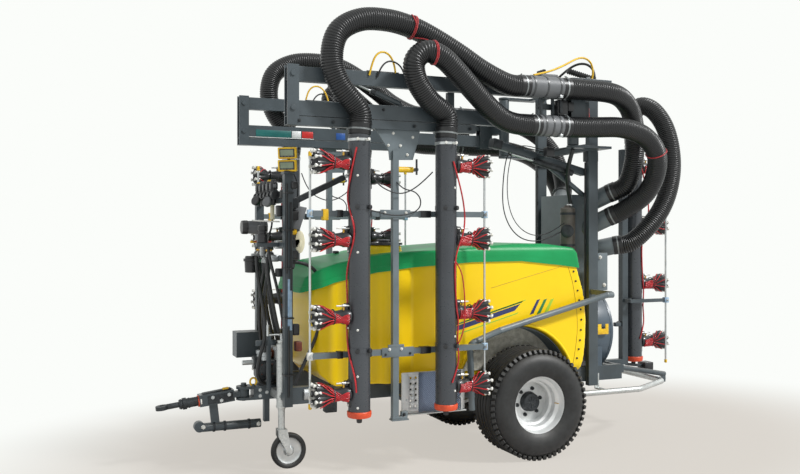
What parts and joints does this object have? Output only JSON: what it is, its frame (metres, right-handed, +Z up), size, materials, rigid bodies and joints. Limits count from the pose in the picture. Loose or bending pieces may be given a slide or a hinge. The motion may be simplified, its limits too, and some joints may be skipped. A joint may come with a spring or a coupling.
{
  "type": "wheeled row sprayer cart",
  "caption": "Towed two-wheel sprayer with a moulded tank, a rear fan, folding side arms, hanging air ducts with spray heads, ribbed air hoses and a jockey wheel.",
  "frame": {"origin": "bottom centre of the whole machine's bounding box, on the ground", "axes": "+X points to the rear and -X to the hitch, +Z is up, -Y is the near (left-hand) side"},
  "size_m": [4.4874, 2.0512, 3.2478],
  "materials": {
    "frame_paint": "satin",
    "gantry_paint": "satin",
    "tank_plastic": "semi-gloss moulded",
    "hood_plastic": "gloss",
    "black_plastic": "matt",
    "fan_paint": "satin",
    "fan_alloy": "cast",
    "tower_paint": "satin",
    "zinc": "galvanised",
    "guard_paint": "satin",
    "tyre": "matt",
    "rim_paint": "silver",
    "jockey_rubber": "matt",
    "eye_steel": "forged",
    "pump_paint": "painted",
    "bright_steel": "machined",
    "meter_plastic": "matt",
    "thin_hose_rubber": "matt",
    "duct_paint": "satin",
    "red_hose": "satin",
    "hose_rubber": "semi-gloss",
    "coupling_plastic": "satin"
  },
  "bodies": {
    "chassis": {"chassis_frame": "frame_paint", "axle": "frame_paint", "tank": "tank_plastic", "tank_hood": "hood_plastic", "gantry": "gantry_paint", "fan_housing": "fan_paint", "air_tower": "tower_paint", "rear_hoop": "zinc", "wheel_guards": "guard_paint", "step": "zinc", "jack_tube": "zinc", "pump": "pump_paint", "control_stand": "frame_paint", "valve_manifold": "black_plastic", "meters": "meter_plastic", "front_hoses": "thin_hose_rubber", "tail_carrier": "frame_paint", "tail_duct": "duct_paint", "tail_heads": "black_plastic", "tail_feed_lines": "red_hose", "tail_hose": "hose_rubber", "near_rear_hoses": "hose_rubber", "far_rear_hoses": "hose_rubber"},
    "lid": {"filler_lid": "black_plastic"},
    "rotor": {"fan_rotor": "fan_alloy"},
    "near_wheel": {"near_tyre": "tyre", "near_rim": "rim_paint"},
    "far_wheel": {"far_tyre": "tyre", "far_rim": "rim_paint"},
    "leg": {"jack_leg": "zinc"},
    "crank": {"jack_crank": "zinc"},
    "fork": {"jockey_fork": "zinc"},
    "jockey": {"jockey_wheel": "jockey_rubber"},
    "hitch": {"hitch_head": "frame_paint"},
    "eye": {"hitch_eye": "eye_steel"},
    "shaft": {"pump_shaft": "bright_steel"},
    "near_turret": {"near_turret": "gantry_paint", "near_couplings": "coupling_plastic", "near_front_hoses": "hose_rubber"},
    "near_upper": {"near_upper_beam": "gantry_paint"},
    "near_lower": {"near_lower_beam": "gantry_paint"},
    "near_boom": {"near_rail": "gantry_paint", "near_boom": "gantry_paint", "near_front_duct": "duct_paint", "near_rear_duct": "duct_paint", "near_heads": "black_plastic", "near_feed_lines": "red_hose", "near_rods": "zinc"},
    "far_turret": {"far_turret": "gantry_paint", "far_couplings": "coupling_plastic", "far_front_hoses": "hose_rubber"},
    "far_upper": {"far_upper_beam": "gantry_paint"},
    "far_lower": {"far_lower_beam": "gantry_paint"},
    "far_boom": {"far_rail": "gantry_paint", "far_boom": "gantry_paint", "far_front_duct": "duct_paint", "far_rear_duct": "duct_paint", "far_heads": "black_plastic", "far_feed_lines": "red_hose", "far_rods": "zinc"}
  },
  "joints": [
    {"name": "near_wheel_spin", "type": "hinge", "parent": "chassis", "child": "near_wheel", "pos_m": [0.44975, -0.64, 0.415], "axis": [0, 1, 0], "continuous": true},
    {"name": "far_wheel_spin", "type": "hinge", "parent": "chassis", "child": "far_wheel", "pos_m": [0.44975, 0.64, 0.415], "axis": [0, 1, 0], "continuous": true},
    {"name": "filler_lid_hinge", "type": "hinge", "parent": "chassis", "child": "lid", "pos_m": [-0.60025, -0.091, 1.612], "axis": [-1, 0, 0], "range_deg": [0, 100]},
    {"name": "fan_spin", "type": "hinge", "parent": "chassis", "child": "rotor", "pos_m": [1.14975, 0, 0.877], "axis": [1, 0, 0], "continuous": true},
    {"name": "pump_spin", "type": "hinge", "parent": "chassis", "child": "shaft", "pos_m": [-1.45025, 0, 0.743], "axis": [1, 0, 0], "continuous": true},
    {"name": "jack_lift", "type": "slide", "parent": "chassis", "child": "leg", "axis": [0, 0, 1], "range_m": [-0.12, 0.13]},
    {"name": "jack_crank_turn", "type": "hinge", "parent": "chassis", "child": "crank", "pos_m": [-1.39225, -0.26, 0.96], "axis": [0, 0, 1], "range_deg": [-7300, 7900]},
    {"name": "jockey_swivel", "type": "hinge", "parent": "leg", "child": "fork", "pos_m": [-1.39225, -0.26, 0.29], "axis": [0, 0, 1], "continuous": true},
    {"name": "jockey_spin", "type": "hinge", "parent": "fork", "child": "jockey", "pos_m": [-1.34025, -0.26, 0.13], "axis": [0, 1, 0], "continuous": true},
    {"name": "hitch_yaw", "type": "hinge", "parent": "chassis", "child": "hitch", "pos_m": [-1.61025, 0, 0.523], "axis": [0, 0, 1], "range_deg": [-30, 30]},
    {"name": "eye_swivel", "type": "hinge", "parent": "hitch", "child": "eye", "pos_m": [-1.90832, 0, 0.48904], "axis": [-0.9936, 0, -0.1132], "continuous": true},
    {"name": "near_swing", "type": "hinge", "parent": "chassis", "child": "near_turret", "pos_m": [0.89975, -0.55, 2.65], "axis": [0, 0, 1], "range_deg": [0, 90], "deforming": ["near_rear_hoses"]},
    {"name": "near_lift", "type": "slide", "parent": "near_turret", "child": "near_boom", "axis": [0, 0, 1], "range_m": [-0.22, 0], "deforming": ["near_front_hoses"]},
    {"name": "near_upper_tilt", "type": "hinge", "parent": "near_turret", "child": "near_upper", "pos_m": [0.77975, -0.74, 2.77], "axis": [0, 1, 0], "range_deg": [-6, 0.5]},
    {"name": "near_lower_tilt", "type": "hinge", "parent": "near_turret", "child": "near_lower", "pos_m": [0.77975, -0.74, 2.54], "axis": [0, 1, 0], "range_deg": [-6, 0.5]},
    {"name": "far_swing", "type": "hinge", "parent": "chassis", "child": "far_turret", "pos_m": [0.89975, 0.55, 2.65], "axis": [0, 0, 1], "range_deg": [-90, 0], "deforming": ["far_rear_hoses"]},
    {"name": "far_lift", "type": "slide", "parent": "far_turret", "child": "far_boom", "axis": [0, 0, 1], "range_m": [-0.22, 0], "deforming": ["far_front_hoses"]},
    {"name": "far_upper_tilt", "type": "hinge", "parent": "far_turret", "child": "far_upper", "pos_m": [0.77975, 0.74, 2.77], "axis": [0, 1, 0], "range_deg": [-6, 0.5]},
    {"name": "far_lower_tilt", "type": "hinge", "parent": "far_turret", "child": "far_lower", "pos_m": [0.77975, 0.74, 2.54], "axis": [0, 1, 0], "range_deg": [-6, 0.5]}
  ],
  "couplings": [
    {"joint": "jack_crank_turn", "follows": "jack_lift", "rad_per_m": 1047.2},
    {"joint": "near_upper_tilt", "follows": "near_lift", "rad_per_m": 0.44843},
    {"joint": "near_lower_tilt", "follows": "near_lift", "rad_per_m": 0.44843},
    {"joint": "far_upper_tilt", "follows": "far_lift", "rad_per_m": 0.44843},
    {"joint": "far_lower_tilt", "follows": "far_lift", "rad_per_m": 0.44843}
  ]
}
